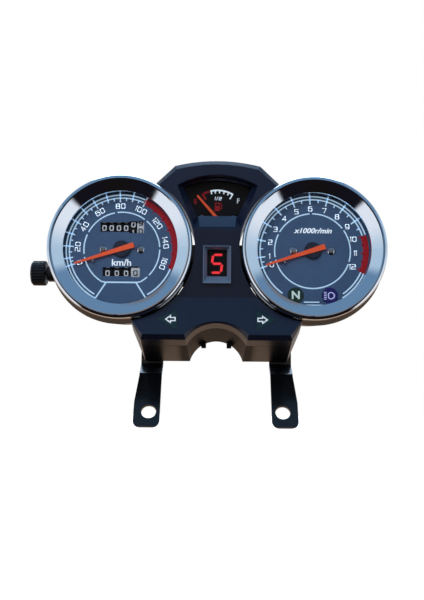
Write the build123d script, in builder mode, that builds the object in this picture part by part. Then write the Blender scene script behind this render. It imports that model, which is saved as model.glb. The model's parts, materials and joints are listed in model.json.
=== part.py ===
from build123d import *
import os
from math import cos, radians, sin

# Twin-gauge motorcycle instrument cluster, in millimetres.
# The row origin is midway between the two bracket holes, on the under side of the tabs.
# +X is the rider's right, +Z is up and the dials face -Y.
# Depths are measured backwards from the widest plane of the chrome rings.

# ---- driving dimensions ----
GAUGE_REACH = 30.2          # ring plane in front of the bracket holes

RING_R = 50.0               # chrome bezel ring
PANEL_WAIST = 33.8          # width of the centre panel between the two rings
GAUGE_X = RING_R + PANEL_WAIST / 2
RING_WALL = 1.0
RING_LIP = 4.0              # lip ahead of the widest plane
BEVEL_END = 2.0             # depth at which the ring's bevel meets the glass opening
RING_REAR = 10.2            # depth of the crimped edge
BEZEL_W = 10.4              # from the rim to the glass opening
OPENING_R = RING_R - BEZEL_W
LENS_DEPTH = 4.6
LENS_T = 2.0
SEAL_T = 2.0
DIAL_DEPTH = 12.0
DIAL_T = 0.8
CUP_STEP = 3.0              # gauge case inside the ring, just behind its flange
CUP_TAPER = 5.0
CUP_R = RING_R - CUP_STEP
CUP_REAR_R = CUP_R - CUP_TAPER
CUP_DROP = 7.6              # how far the case leans down towards its back
BELLY_R = RING_R + 0.7      # widest part of the case, outward and down from the gauge axis
BELLY_OUT = 2.5
BELLY_DROP = 0.8
CUP_START = 13.0
BELLY_DEPTH = 25.0
WALL = 2.2
FIT = 0.2                   # clearance between pieces that are fitted together
RUNNING = 0.05              # radial running clearance of a shaft in its bore

SPINDLE_R = 1.0
HUB_R = 6.0
HUB_T = 1.6
POINTER_T = 0.8
POINTER_DEPTH = 8.8         # front of the pointer blades
POINTER_REACH = 34.0
POINTER_TAIL = 9.0
POINTER_REST = 198.0        # blade angle at the stop pin, anticlockwise from +X
DIAL_SCREW_X = 13.2
SCREW_L = 6.0               # thread below the head of a dial screw
FUEL_SCREW_X = 11.4
FUEL_SCREW_RISE = 0.6
STOP_R = 21.5
STOP_PIN_R = 0.8

DRUM_R = 9.3
DRUM_CLEAR = 0.4            # between the dial's back and the drums
COUNTER_UP = DRUM_R + 6.6   # drum shafts above and below the gauge axis
COUNTER_DEPTH = DIAL_DEPTH + DIAL_T + DRUM_CLEAR + DRUM_R
ODO_PITCH = 5.1
ODO_DRUMS = 6
TRIP_PITCH = 6.5
TRIP_DRUMS = 4
DRUM_GAP = 0.3
DRUM_SHAFT_R = 1.5
FRAME_SIDE = 1.9            # between the drums and the frame's side plates
FRAME_X = max(ODO_PITCH * ODO_DRUMS, TRIP_PITCH * TRIP_DRUMS) / 2 + FRAME_SIDE
FRAME_T = 2.0
FRAME_REAR = COUNTER_DEPTH + DRUM_R + 2.2
BRIDGE_DEPTH = 17.0
MAGNET_R = 13.0
MAGNET_DEPTH = FRAME_REAR + 7.0
MAGNET_T = 4.0
CUP_DEPTH = MAGNET_DEPTH + MAGNET_T + 7.0
DRIVE_R = 4.0
NIPPLE_R = 6.0              # thread for the cable's ring nut
NIPPLE_STEP = 1.0           # shoulder between the thread and the case wall
NIPPLE_LENGTH = 12.0

KNOB_R = 8.8
KNOB_T = 10.0
KNOB_RIBS = 24
BOSS_R = 6.0
BOSS_OUT = CUP_R + 5.5
KNOB_OUT = BOSS_OUT + 11.9  # knob's outer face, from the gauge axis

RIM_GAP = 1.5               # between each ring and the centre housing's edge
RIM_R = RING_R + RIM_GAP
SPLIT_DEPTH = 14.0          # joint between the fascia and the centre case
SPLIT_GAP = 0.3
CENTRE_REAR = 46.0
HOOD_TOP = RIM_R + 10.2
VALLEY_DEPTH = 6.5
FOLD_UP = 14.0              # the upper face starts to slope back here
BEND_UP = -34.0             # fold between the upper face and the lower panel
PANEL_LOW = -RIM_R - 8.9    # bottom edge of the fascia's face
BEVEL = 3.4                 # dark chamfer round the fascia's bottom edge
CASE_FOOT = -RIM_R - 24.9   # lower rear edge of the housing
LEG_RISE = 37.3             # that edge above the bracket holes
GAUGE_RISE = LEG_RISE - CASE_FOOT

FUEL_UP = HOOD_TOP - 39.4   # fuel pointer's pivot
FUEL_BROW = HOOD_TOP - 18.3  # upper corners of the fuel window
FUEL_TOP_X = 23.8           # half widths of the window at its top and at its foot
FUEL_FOOT_X = 13.6
FUEL_REST = 131.0
FUEL_REACH = 21.6
FUEL_DIAL_DEPTH = 13.0
FUEL_CAN_R = 10.5
GEAR_W = 19.2
GEAR_H = 26.2
GEAR_UP = -11.9
GEAR_WINDOW_W = 13.6
GEAR_WINDOW_H = 18.6
GEAR_WINDOW_RISE = 1.7      # window's centre above the bezel's centre
TURN_X = 32.0
TURN_UP = -RIM_R + 1.1
LAMP_R = 5.7
LAMP_X = 11.9
LAMP_EDGE = 12.6            # lamps' centres above the dial's bottom edge

HARNESS_UP = -20.0          # wiring bore in the tachometer case, from its axis

BRACKET_T = 2.3
BRACKET_GAP = 4.0           # damper height between the cases and the bracket
HOLE_X = 47.25              # half the bracket hole spacing
HOLE_R = 5.25
TAB_TILT = 29.0             # tabs lean towards the rider, from the face plane
TAB_UP = 30.5               # from the hole to the upper bend, along the tab
TAB_DOWN = 11.5
STUD_X = 19.0               # case studs each side of the gauge axis
STUD_UP = -6.0
STUD_R = 2.5
DAMPER_R = 6.5

os.makedirs("parts", exist_ok=True)


def at_depth(depth, x=0.0, up=0.0):
    """Plane parallel to the dials, facing the rider."""
    return Plane(origin=(x, depth - GAUGE_REACH, GAUGE_RISE + up), x_dir=(1, 0, 0), z_dir=(0, -1, 0))


def turning(x=0.0, up=0.0):
    """Half plane through an axis square to the dials: local x is radius, local y is depth."""
    return Plane(origin=(x, -GAUGE_REACH, GAUGE_RISE + up), x_dir=(1, 0, 0), z_dir=(0, 0, 1))


def axis_at(x=0.0, up=0.0):
    return Axis((x, -GAUGE_REACH, GAUGE_RISE + up), (0, 1, 0))


def across(x, up, depth):
    """Plane square to the X axis, facing +X: local x is depth, local y is up."""
    return Plane(origin=(x, depth - GAUGE_REACH, GAUGE_RISE + up), x_dir=(0, 1, 0), z_dir=(1, 0, 0))


def save(piece, label):
    piece.part.label = label
    export_step(piece.part, f"parts/{label}.step")


def ring_profile(points):
    """Closed straight-sided profile in a turning plane."""
    with BuildLine() as outline:
        Polyline(*points, close=True)
    make_face(outline.edges())


def bar(x, up, depth_front, depth_rear, radius, mode=Mode.ADD):
    """Round bar square to the dials."""
    with BuildSketch(at_depth(depth_rear, x, up)) as disc:
        Circle(radius)
    extrude(disc.sketch, amount=depth_rear - depth_front, mode=mode)


# ---- gauge cases, rings, glasses and seals: one set for each gauge ----
flange_depth = LENS_DEPTH + LENS_T + SEAL_T
flange_r = RING_R - RING_WALL - 0.5
dial_r = flange_r - 4.3
ledge_r = dial_r - 2.2
lamps_up = LAMP_EDGE - dial_r
studs = [(-STUD_X, STUD_UP), (STUD_X, STUD_UP)]


def cup_lean(depth):
    """How far down the case's centre has moved at a depth."""
    return -CUP_DROP * (depth - CUP_START) / (CUP_DEPTH - CUP_START)


def cup_radius(depth):
    return CUP_R - (CUP_R - CUP_REAR_R) * (depth - CUP_START) / (CUP_DEPTH - CUP_START)


for name, centre_x in (("speedometer", -GAUGE_X), ("tachometer", GAUGE_X)):
    with BuildPart() as case:
        belly_x = centre_x * (1 + BELLY_OUT / GAUGE_X)
        with BuildSketch(at_depth(CUP_START, centre_x)):
            Circle(CUP_R)
        with BuildSketch(at_depth(BELLY_DEPTH, belly_x, -BELLY_DROP)):
            Circle(BELLY_R)
        with BuildSketch(at_depth(CUP_DEPTH, centre_x, cup_lean(CUP_DEPTH))):
            Circle(CUP_REAR_R)
        loft(ruled=True)
        with BuildSketch(turning(centre_x)):
            ring_profile([
                (0, flange_depth), (flange_r, flange_depth), (flange_r, RING_REAR - 0.9),
                (flange_r - 0.8, RING_REAR - 0.9), (flange_r - 0.8, RING_REAR + 0.1),
                (flange_r, RING_REAR + 0.1), (flange_r, CUP_START), (0, CUP_START),
            ])
        revolve(axis=axis_at(centre_x))
        inner_rear = CUP_DEPTH - WALL
        ledge_depth = DIAL_DEPTH + DIAL_T
        with BuildSketch(at_depth(ledge_depth, centre_x)):
            Circle(dial_r + FIT)
        extrude(amount=ledge_depth - flange_depth, mode=Mode.SUBTRACT)
        with BuildSketch(at_depth(ledge_depth, centre_x)):
            Circle(ledge_r)
        with BuildSketch(at_depth(BELLY_DEPTH, belly_x, -BELLY_DROP)):
            Circle(BELLY_R - WALL)
        with BuildSketch(at_depth(inner_rear, centre_x, cup_lean(inner_rear))):
            Circle(cup_radius(inner_rear) - WALL)
        loft(ruled=True, mode=Mode.SUBTRACT)
        for stud_x, stud_up in studs:
            bar(centre_x + stud_x, stud_up, CUP_DEPTH, CUP_DEPTH + BRACKET_GAP + BRACKET_T + 7, STUD_R)
            bar(centre_x + stud_x, stud_up, inner_rear - 4, inner_rear, STUD_R + 2.5)
        if name == "speedometer":
            bar(centre_x, 0, inner_rear, CUP_DEPTH, NIPPLE_R + NIPPLE_STEP, Mode.SUBTRACT)
            with BuildSketch(across(centre_x - BOSS_OUT, -COUNTER_UP, COUNTER_DEPTH)):
                Circle(BOSS_R)
            extrude(amount=BOSS_OUT - cup_radius(COUNTER_DEPTH) + WALL + 1.5)
            with BuildSketch(across(centre_x - BOSS_OUT, -COUNTER_UP, COUNTER_DEPTH)):
                Circle(DRUM_SHAFT_R + 2.0)
            extrude(amount=BOSS_OUT - FRAME_X - FRAME_T - 1, mode=Mode.SUBTRACT)
        if name == "tachometer":
            for lamp_x in (-LAMP_X, LAMP_X):
                bar(centre_x + lamp_x, lamps_up, inner_rear, CUP_DEPTH, LAMP_R - 0.7, Mode.SUBTRACT)
            bar(centre_x, HARNESS_UP, inner_rear, CUP_DEPTH, 5.0, Mode.SUBTRACT)
    save(case, f"{name}_case")

    # Chrome ring: rolled lip, conical inner bevel, side wall crimped into the case's groove.
    wall_in = RING_R - RING_WALL
    with BuildPart() as ring:
        with BuildSketch(turning(centre_x)):
            with BuildLine():
                Polyline((flange_r - 0.6, RING_REAR), (RING_R - 0.3, RING_REAR), (RING_R, 0), (RING_R, -1.2))
                ThreePointArc((RING_R, -1.2), (RING_R - 1.0, -RING_LIP + 0.7), (RING_R - 2.8, -RING_LIP))
                Polyline((RING_R - 2.8, -RING_LIP), (RING_R - 3.6, -RING_LIP + 0.4), (OPENING_R, BEVEL_END),
                         (OPENING_R, LENS_DEPTH), (OPENING_R + 1.2, LENS_DEPTH),
                         (OPENING_R + 1.2, BEVEL_END + 0.6),
                         (RING_R - 4.0, -RING_LIP + 2.0), (RING_R - 2.9, -RING_LIP + 1.1))
                ThreePointArc((RING_R - 2.9, -RING_LIP + 1.1), (RING_R - 1.7, -RING_LIP + 1.6),
                              (wall_in, -1.0))
                Polyline((wall_in, -1.0), (wall_in, RING_REAR - 0.8), (flange_r - 0.6, RING_REAR - 0.8),
                         (flange_r - 0.6, RING_REAR))
            make_face()
        revolve(axis=axis_at(centre_x))
    save(ring, f"{name}_bezel_ring")

    with BuildPart() as lens:
        bar(centre_x, 0, LENS_DEPTH, LENS_DEPTH + LENS_T, flange_r - FIT)
        chamfer(lens.edges().filter_by(GeomType.CIRCLE).sort_by(Axis.Y)[0], 0.4)
    save(lens, f"{name}_lens")

    with BuildPart() as seal:
        with BuildSketch(at_depth(flange_depth, centre_x)):
            Circle(flange_r - FIT)
            Circle(dial_r, mode=Mode.SUBTRACT)
        extrude(amount=SEAL_T)
    save(seal, f"{name}_lens_seal")

# ---- dials ----
odo_width = ODO_PITCH * ODO_DRUMS
trip_width = TRIP_PITCH * TRIP_DRUMS

with BuildPart() as speedometer_dial:
    with BuildSketch(at_depth(DIAL_DEPTH + DIAL_T, -GAUGE_X)):
        Circle(dial_r)
        Circle(SPINDLE_R + 1.5, mode=Mode.SUBTRACT)
        with Locations((0, COUNTER_UP)):
            Rectangle(odo_width, 6.8, mode=Mode.SUBTRACT)
        with Locations((odo_width / 2 - ODO_PITCH, COUNTER_UP)):
            Rectangle(2 * ODO_PITCH, 8.5, mode=Mode.SUBTRACT)
        with Locations((0, -COUNTER_UP)):
            Rectangle(trip_width, 6.2, mode=Mode.SUBTRACT)
        with Locations((trip_width / 2 - TRIP_PITCH / 2, -COUNTER_UP)):
            Rectangle(TRIP_PITCH, 7.5, mode=Mode.SUBTRACT)
        with Locations((-DIAL_SCREW_X, 0), (DIAL_SCREW_X, 0)):
            Circle(1.4, mode=Mode.SUBTRACT)
    extrude(amount=DIAL_T)
save(speedometer_dial, "speedometer_dial")

with BuildPart() as tachometer_dial:
    with BuildSketch(at_depth(DIAL_DEPTH + DIAL_T, GAUGE_X)):
        Circle(dial_r)
        Circle(SPINDLE_R + 1.5, mode=Mode.SUBTRACT)
        with Locations((-LAMP_X, lamps_up), (LAMP_X, lamps_up)):
            Circle(LAMP_R, mode=Mode.SUBTRACT)
        with Locations((-DIAL_SCREW_X, 0), (DIAL_SCREW_X, 0)):
            Circle(1.4, mode=Mode.SUBTRACT)
    extrude(amount=DIAL_T)
save(tachometer_dial, "tachometer_dial")

for name, lamp_x in (("neutral_lamp_lens", -LAMP_X), ("high_beam_lamp_lens", LAMP_X)):
    with BuildPart() as lamp_lens:
        with BuildSketch(turning(GAUGE_X + lamp_x, lamps_up)):
            ring_profile([
                (0, DIAL_DEPTH - 0.3), (LAMP_R - 0.1, DIAL_DEPTH - 0.3), (LAMP_R - 0.1, DIAL_DEPTH + DIAL_T),
                (LAMP_R + 0.9, DIAL_DEPTH + DIAL_T), (LAMP_R + 0.9, DIAL_DEPTH + DIAL_T + 1.0),
                (0, DIAL_DEPTH + DIAL_T + 1.0),
            ])
        revolve(axis=axis_at(GAUGE_X + lamp_x, lamps_up))
    save(lamp_lens, name)

# ---- pointers, hubs, stop pins and dial screws ----
hub_front = POINTER_DEPTH + POINTER_T
hub_rear = hub_front + HUB_T
rest = radians(POINTER_REST)
pin_angle = rest + (1.3 + STOP_PIN_R + 0.1) / STOP_R


def blade(x, up, depth, thickness, reach, tail, root_w, tip_w, angle):
    """Tapered pointer blade with a pointed tip, turned to its rest angle."""
    start = at_depth(depth + thickness, x, up).origin
    with BuildSketch(Plane(start, (cos(angle), 0, sin(angle)), (0, -1, 0))) as shape:
        with BuildLine():
            Polyline((-tail, -root_w / 2), (reach, -tip_w / 2), (reach + tip_w / 2, 0), (reach, tip_w / 2),
                     (-tail, root_w / 2), close=True)
        make_face()
    extrude(shape.sketch, amount=thickness)


for name, centre_x in (("speedometer", -GAUGE_X), ("tachometer", GAUGE_X)):
    with BuildPart() as pointer:
        blade(centre_x, 0, POINTER_DEPTH, POINTER_T, POINTER_REACH, POINTER_TAIL, 3.8, 1.2, rest)
    save(pointer, f"{name}_pointer")

    with BuildPart() as hub:
        bar(centre_x, 0, hub_front, hub_rear, HUB_R)
        chamfer(hub.edges().filter_by(GeomType.CIRCLE).sort_by(Axis.Y)[0], 0.5)
        bar(centre_x, 0, hub_front, hub_rear, SPINDLE_R, Mode.SUBTRACT)
    save(hub, f"{name}_pointer_hub")

with BuildPart() as pointer_stop_pins:
    for centre_x in (-GAUGE_X, GAUGE_X):
        pin_x = centre_x + STOP_R * cos(pin_angle)
        bar(pin_x, STOP_R * sin(pin_angle), POINTER_DEPTH - 0.6, DIAL_DEPTH, STOP_PIN_R)
save(pointer_stop_pins, "pointer_stop_pins")

dial_screw_spots = [(x + dx, 0, DIAL_DEPTH)
                    for x in (-GAUGE_X, GAUGE_X) for dx in (-DIAL_SCREW_X, DIAL_SCREW_X)]
dial_screw_spots += [(side * FUEL_SCREW_X, FUEL_UP + FUEL_SCREW_RISE, FUEL_DIAL_DEPTH) for side in (-1, 1)]
with BuildPart() as dial_screws:
    for screw_x, screw_up, seat in dial_screw_spots:
        with BuildSketch(turning(screw_x, screw_up)):
            with BuildLine():
                Polyline((2.8, seat - 0.5), (2.8, seat), (1.25, seat),
                         (1.25, seat + SCREW_L), (0, seat + SCREW_L),
                         (0, seat - 1.5))
                ThreePointArc((0, seat - 1.5), (1.7, seat - 1.2), (2.8, seat - 0.5))
            make_face()
        revolve(axis=axis_at(screw_x, screw_up))
        with BuildSketch(at_depth(seat - 0.9, screw_x, screw_up)):
            Rectangle(3.0, 0.6, 25)
            Rectangle(0.6, 3.0, 25)
        extrude(amount=2, mode=Mode.SUBTRACT)
save(dial_screws, "dial_screws")

# ---- speedometer movement ----
# The die-cast frame carries both counter shafts, the spindle and the dial.
frame_edge = COUNTER_UP + DRUM_R + 1.8
frame_x_out = FRAME_X + FRAME_T
with BuildPart() as speedometer_frame:
    for side_x in (-frame_x_out, FRAME_X):
        with BuildSketch(across(side_x - GAUGE_X, 0, (DIAL_DEPTH + DIAL_T + FRAME_REAR) / 2 + 0.6)):
            Rectangle(FRAME_REAR - DIAL_DEPTH - DIAL_T - 1.2, 2 * frame_edge)
        extrude(amount=FRAME_T)
    with BuildSketch(at_depth(FRAME_REAR + FRAME_T, -GAUGE_X)):
        Rectangle(2 * frame_x_out, 2 * frame_edge)
        with Locations((0, COUNTER_UP), (0, -COUNTER_UP)):
            Rectangle(20, 9, mode=Mode.SUBTRACT)
    extrude(amount=FRAME_T)
    with BuildSketch(at_depth(BRIDGE_DEPTH + 2.5, -GAUGE_X)):
        Rectangle(2 * FRAME_X, 9.6)
    extrude(amount=2.5)
    for screw_x in (-DIAL_SCREW_X, DIAL_SCREW_X):
        bar(screw_x - GAUGE_X, 0, DIAL_DEPTH + DIAL_T, BRIDGE_DEPTH, 3.2)
        bar(screw_x - GAUGE_X, 0, DIAL_DEPTH + DIAL_T, BRIDGE_DEPTH + 1.2, 1.3, Mode.SUBTRACT)
        for foot_up in (-MAGNET_R - 8, MAGNET_R + 8):
            bar(screw_x - GAUGE_X, foot_up, FRAME_REAR + FRAME_T, CUP_DEPTH - WALL, 2.4)
    bar(-GAUGE_X, 0, BRIDGE_DEPTH, FRAME_REAR + FRAME_T, SPINDLE_R + RUNNING, Mode.SUBTRACT)
    for shaft_up, shaft_r in ((COUNTER_UP, DRUM_SHAFT_R), (-COUNTER_UP, DRUM_SHAFT_R + RUNNING)):
        with BuildSketch(across(-frame_x_out - GAUGE_X, shaft_up, COUNTER_DEPTH)):
            Circle(shaft_r)
        extrude(amount=2 * frame_x_out, mode=Mode.SUBTRACT)
save(speedometer_frame, "speedometer_frame")

# The spindle carries the drag cup, an aluminium bell round the magnet.
with BuildPart() as speedometer_spindle:
    with BuildSketch(turning(-GAUGE_X)):
        cup_front = FRAME_REAR + FRAME_T + 2.0
        cup_inner = MAGNET_R + 0.8
        ring_profile([
            (0, hub_front), (SPINDLE_R, hub_front), (SPINDLE_R, cup_front), (cup_inner + 0.8, cup_front),
            (cup_inner + 0.8, MAGNET_DEPTH + MAGNET_T), (cup_inner, MAGNET_DEPTH + MAGNET_T),
            (cup_inner, cup_front + 0.8), (0, cup_front + 0.8),
        ])
    revolve(axis=axis_at(-GAUGE_X))
    with BuildSketch(at_depth(cup_front, -GAUGE_X)):
        Circle(3.0)
        Circle(SPINDLE_R, mode=Mode.SUBTRACT)
    extrude(amount=1.2)
save(speedometer_spindle, "speedometer_spindle")

drive_end = CUP_DEPTH + NIPPLE_LENGTH - 2
with BuildPart() as speedometer_magnet:
    bar(-GAUGE_X, 0, MAGNET_DEPTH, MAGNET_DEPTH + MAGNET_T, MAGNET_R)
    bar(-GAUGE_X, 0, MAGNET_DEPTH + MAGNET_T, drive_end, DRIVE_R)
    with BuildSketch(at_depth(drive_end, -GAUGE_X)):
        Rectangle(2.7, 2.7)
    extrude(amount=10, mode=Mode.SUBTRACT)
save(speedometer_magnet, "speedometer_magnet")

with BuildPart() as cable_nipple:
    with BuildSketch(turning(-GAUGE_X)):
        nipple_end = CUP_DEPTH + NIPPLE_LENGTH
        ring_profile([
            (DRIVE_R + RUNNING, CUP_DEPTH - WALL - 1.5), (NIPPLE_R + 2.5, CUP_DEPTH - WALL - 1.5),
            (NIPPLE_R + 2.5, CUP_DEPTH - WALL), (NIPPLE_R + NIPPLE_STEP, CUP_DEPTH - WALL),
            (NIPPLE_R + NIPPLE_STEP, CUP_DEPTH), (NIPPLE_R, CUP_DEPTH), (NIPPLE_R, nipple_end - 0.8),
            (NIPPLE_R - 0.8, nipple_end), (DRIVE_R + RUNNING, nipple_end),
        ])
    revolve(axis=axis_at(-GAUGE_X))
save(cable_nipple, "cable_nipple")

# Counter drums: a rim with a web and a bore that runs on its shaft.
def drum(centre_x, up, width):
    side = across(centre_x - width / 2 + DRUM_GAP / 2, up, COUNTER_DEPTH)
    with BuildSketch(side) as blank:
        Circle(DRUM_R)
        Circle(DRUM_SHAFT_R + RUNNING, mode=Mode.SUBTRACT)
    extrude(blank.sketch, amount=width - DRUM_GAP)
    with BuildSketch(side) as hollow:
        Circle(DRUM_R - 1.4)
        Circle(DRUM_SHAFT_R + 1.6, mode=Mode.SUBTRACT)
    extrude(hollow.sketch, amount=width - DRUM_GAP - 1.4, mode=Mode.SUBTRACT)


odo_names = ["tenths", "units", "tens", "hundreds", "thousands", "ten_thousands"]
for place, drum_name in enumerate(odo_names):
    with BuildPart() as odometer_drum:
        drum(-GAUGE_X + odo_width / 2 - ODO_PITCH * (place + 0.5), COUNTER_UP, ODO_PITCH)
    save(odometer_drum, f"odometer_drum_{drum_name}")

for place in range(TRIP_DRUMS):
    with BuildPart() as trip_drum:
        drum(-GAUGE_X + trip_width / 2 - TRIP_PITCH * (place + 0.5), -COUNTER_UP, TRIP_PITCH)
    save(trip_drum, f"trip_drum_{odo_names[place]}")

with BuildPart() as odometer_shaft:
    with BuildSketch(across(-GAUGE_X - frame_x_out, COUNTER_UP, COUNTER_DEPTH)):
        Circle(DRUM_SHAFT_R)
    extrude(amount=2 * frame_x_out)
save(odometer_shaft, "odometer_shaft")

with BuildPart() as trip_shaft:
    with BuildSketch(across(-GAUGE_X - KNOB_OUT + 3, -COUNTER_UP, COUNTER_DEPTH)):
        Circle(DRUM_SHAFT_R)
    extrude(amount=KNOB_OUT - 3 + frame_x_out + 0.6)
save(trip_shaft, "trip_shaft")

with BuildPart() as trip_reset_knob:
    with BuildSketch(across(-GAUGE_X - KNOB_OUT, -COUNTER_UP, COUNTER_DEPTH)):
        Circle(KNOB_R)
    extrude(amount=KNOB_T)
    chamfer(trip_reset_knob.edges().filter_by(GeomType.CIRCLE).sort_by(Axis.X)[0], 1.2)
    chamfer(trip_reset_knob.edges().filter_by(GeomType.CIRCLE).sort_by(Axis.X)[-1], 0.6)
    with BuildSketch(across(-GAUGE_X - KNOB_OUT, -COUNTER_UP, COUNTER_DEPTH)):
        with PolarLocations(KNOB_R + 0.25, KNOB_RIBS):
            Circle(0.7)
    extrude(amount=KNOB_T, mode=Mode.SUBTRACT)
    with BuildSketch(across(-GAUGE_X - KNOB_OUT + 3, -COUNTER_UP, COUNTER_DEPTH)):
        Circle(DRUM_SHAFT_R)
    extrude(amount=KNOB_T, mode=Mode.SUBTRACT)
save(trip_reset_knob, "trip_reset_knob")

with BuildPart() as trip_knob_seal:
    with BuildSketch(across(-GAUGE_X - BOSS_OUT - 1.0, -COUNTER_UP, COUNTER_DEPTH)):
        Circle(BOSS_R - 1.0)
        Circle(DRUM_SHAFT_R + RUNNING, mode=Mode.SUBTRACT)
    extrude(amount=1.0)
    with BuildSketch(across(-GAUGE_X - BOSS_OUT, -COUNTER_UP, COUNTER_DEPTH)):
        Circle(DRUM_SHAFT_R + 2.0)
        Circle(DRUM_SHAFT_R + RUNNING, mode=Mode.SUBTRACT)
    extrude(amount=5.0)
save(trip_knob_seal, "trip_knob_seal")

# ---- tachometer movement ----
can_front = 16.0
can_rear = 36.0
board_depth = 38.0
board_r = dial_r - 12.2
with BuildPart() as tachometer_movement:
    bar(GAUGE_X, 0, can_front, can_rear, 17.0)
    fillet(tachometer_movement.edges().filter_by(GeomType.CIRCLE).sort_by(Axis.Y)[-1], 1.5)
    for screw_x in (-DIAL_SCREW_X, DIAL_SCREW_X):
        bar(GAUGE_X + screw_x, 0, DIAL_DEPTH + DIAL_T, can_front, 3.0)
        bar(GAUGE_X + screw_x, 0, DIAL_DEPTH + DIAL_T, BRIDGE_DEPTH + 1.2, 1.3, Mode.SUBTRACT)
        bar(GAUGE_X + screw_x, 0, can_rear, board_depth, 3.0)
    bar(GAUGE_X, 0, can_front, can_rear - 4, SPINDLE_R + RUNNING, Mode.SUBTRACT)
save(tachometer_movement, "tachometer_movement")

with BuildPart() as tachometer_spindle:
    bar(GAUGE_X, 0, hub_front, can_rear - 5, SPINDLE_R)
save(tachometer_spindle, "tachometer_spindle")

with BuildPart() as tachometer_circuit_board:
    with BuildSketch(at_depth(board_depth + 1.6, GAUGE_X)):
        Circle(board_r)
        with Locations((0, -board_r)):
            Rectangle(44, 26, mode=Mode.SUBTRACT)
    extrude(amount=1.6)
    for chip_x, chip_up, chip_w, chip_h in ((-12, 8, 14, 7), (10, 10, 9, 9),
                                            (4, -8, 16, 6), (-15, -8, 6, 8)):
        with BuildSketch(at_depth(board_depth + 1.6, GAUGE_X + chip_x, chip_up)):
            Rectangle(chip_w, chip_h)
        extrude(amount=-3.0)
    for post_x in (8 - board_r, board_r - 8):
        bar(GAUGE_X + post_x, 4, board_depth + 1.6, CUP_DEPTH - WALL, 2.4)
save(tachometer_circuit_board, "tachometer_circuit_board")


# ---- centre housing ----
def centre_outline(hood_inset, wing, corner, arch_half, arch_top, inset=0.0):
    """Front view of the centre housing; wing and corner are (x, up) of the lower outer corners."""
    rim = RIM_R + inset
    shoulder = radians(62)
    tongue = (wing[0] - inset + 0.8 - GAUGE_X) / rim
    hood_corner = (GAUGE_X - 37.2 - hood_inset * 0.4, HOOD_TOP - 3.7 - hood_inset - inset)
    crown = (0, HOOD_TOP - hood_inset - inset)
    top = (GAUGE_X - rim * cos(shoulder) - hood_inset * 0.5, rim * sin(shoulder) - hood_inset * 0.6 - inset)
    waist = (GAUGE_X - rim, 0)
    low = (GAUGE_X + rim * tongue, -rim * (1 - tongue * tongue) ** 0.5)
    wing_in = (wing[0] - inset, wing[1] - 0.8 * inset)
    corner_in = (corner[0] - inset, corner[1] + inset)
    foot = (arch_half + inset, corner[1] + inset)
    right = [top, waist, low]
    with BuildLine() as outline:
        ThreePointArc((-hood_corner[0], hood_corner[1]), crown, hood_corner)
        Line(hood_corner, top)
        ThreePointArc(*right)
        Polyline(low, wing_in, corner_in, foot)
        ThreePointArc(foot, (0, arch_top + inset), (-foot[0], foot[1]))
        Polyline((-foot[0], foot[1]), (-corner_in[0], corner_in[1]),
                 (-wing_in[0], wing_in[1]), (-low[0], low[1]))
        ThreePointArc(*[(-p[0], p[1]) for p in reversed(right)])
        Line((-top[0], top[1]), (-hood_corner[0], hood_corner[1]))
    make_face(outline.edges())


wing_x = GAUGE_X - 9.0
corner_x = HOLE_X + 4.35
arch_up = PANEL_LOW + 11.5
centre_sections = [
    (-1.0, (4.4, (wing_x - 2.4, -RIM_R - 0.5), (corner_x - 1.3, PANEL_LOW), 21.7, arch_up)),
    (3.0, (0.0, (wing_x, -RIM_R - 1.1), (corner_x, PANEL_LOW - BEVEL), 21.2, arch_up - BEVEL)),
    (CENTRE_REAR, (0.0, (wing_x + 3.1, -RIM_R - 3.0), (corner_x + 0.1, CASE_FOOT), 19.2, arch_up - 13.0)),
]


def centre_body(inset, mode=Mode.ADD):
    """The whole outer form of the centre housing, or the same form set in by a wall."""
    faces = []
    for depth, shape in centre_sections:
        with BuildSketch(at_depth(depth)) as section:
            centre_outline(*shape, inset)
        faces.append(section.sketch.face())
    for front, rear in zip(faces, faces[1:]):
        loft([front, rear], ruled=True, mode=mode)


def behind_face(shift, mode=Mode.INTERSECT):
    """Everything behind the housing's front faces, moved back by shift."""
    with BuildSketch(across(-120, 0, 0)) as side_view:
        with BuildLine():
            Polyline((shift, 120), (shift, FOLD_UP), (VALLEY_DEPTH + shift, BEND_UP), (shift - 1, PANEL_LOW),
                     (shift - 1, -120), (90, -120), (90, 120), close=True)
        make_face()
    extrude(side_view.sketch, amount=240, mode=mode)


with BuildPart() as outer_form:
    centre_body(0.0)
    behind_face(0.0)

with BuildPart() as inner_form:
    centre_body(WALL)
    behind_face(WALL)

with BuildPart() as front_half:
    with BuildSketch(at_depth(SPLIT_DEPTH)):
        Rectangle(240, 240)
    extrude(amount=40)

with BuildPart() as rear_half:
    with BuildSketch(at_depth(CENTRE_REAR + 1)):
        Rectangle(240, 240)
    extrude(amount=CENTRE_REAR + 1 - SPLIT_DEPTH - SPLIT_GAP)

with BuildPart() as rear_room:
    with BuildSketch(at_depth(CENTRE_REAR - WALL)):
        Rectangle(240, 240)
    extrude(amount=CENTRE_REAR)


well_low = FUEL_BROW - 30.8
well_high = FUEL_BROW - 21.4


def fuel_outline(grow, low):
    """Window of the fuel gauge, or the same window set out by grow, down to a height."""
    with BuildLine() as outline:
        top = FUEL_TOP_X + grow
        foot = FUEL_FOOT_X + 0.6 * grow
        Polyline((top, FUEL_BROW), (foot, low), (-foot, low), (-top, FUEL_BROW))
        ThreePointArc((-top, FUEL_BROW), (0, FUEL_BROW + 5.2 + 0.6 * grow), (top, FUEL_BROW))
    make_face(outline.edges())


def turn_outline(side, grow=0.0):
    with BuildLine() as outline:
        Polyline((side * (TURN_X - 5.0 - grow), TURN_UP + 7.3 + 1.6 * grow),
                 (side * (TURN_X + 9.4 + 1.8 * grow), TURN_UP + 0.6),
                 (side * (TURN_X - 5.0 - grow), TURN_UP - 7.3 - 1.6 * grow), close=True)
    make_face(outline.edges())


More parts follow.
